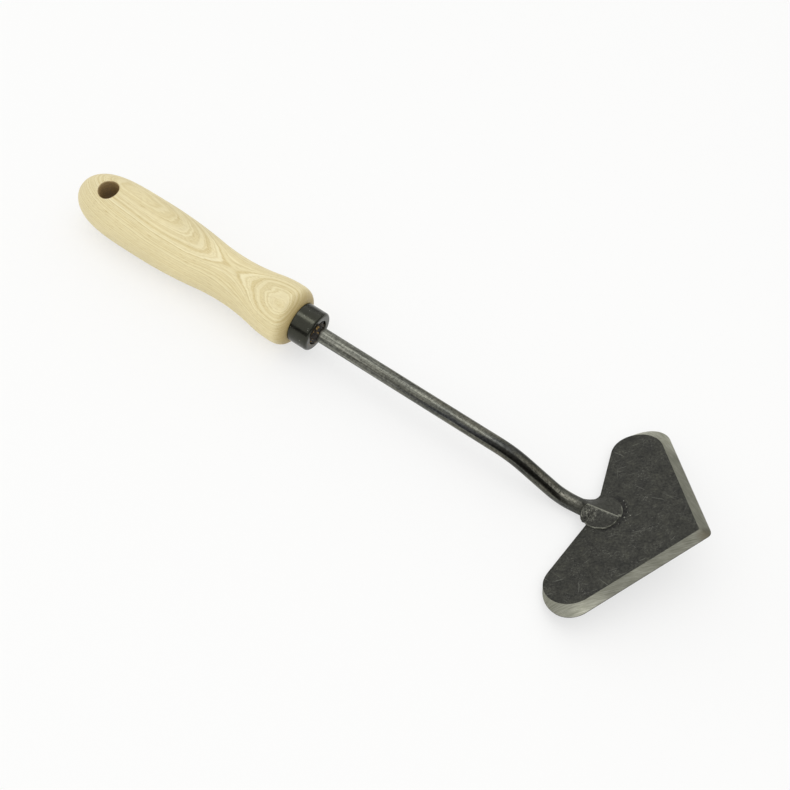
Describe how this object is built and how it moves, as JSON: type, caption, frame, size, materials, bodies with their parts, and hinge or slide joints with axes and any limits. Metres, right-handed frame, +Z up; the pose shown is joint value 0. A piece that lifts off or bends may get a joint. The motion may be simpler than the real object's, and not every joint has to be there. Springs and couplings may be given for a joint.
{
  "type": "hand hoe",
  "caption": "Short hand hoe with a turned wooden handle, steel ferrule, bent round shank and a flat heart-shaped blade ground along its front edges.",
  "frame": {"origin": "middle of the hang hole on the handle's axis", "axes": "+X along the handle towards the blade, +Z up as the tool lies on its grip and its wings"},
  "size_m": [0.3647, 0.1236, 0.033],
  "materials": {
    "ash": "satin",
    "black_steel": "gloss",
    "forged_steel": "satin",
    "blade_steel": "satin",
    "weld": "matte"
  },
  "bodies": {
    "root": {"handle": "ash", "ferrule": "black_steel", "shank": "forged_steel", "blade": "blade_steel", "weld_right": "weld", "weld_left": "weld"}
  },
  "joints": []
}
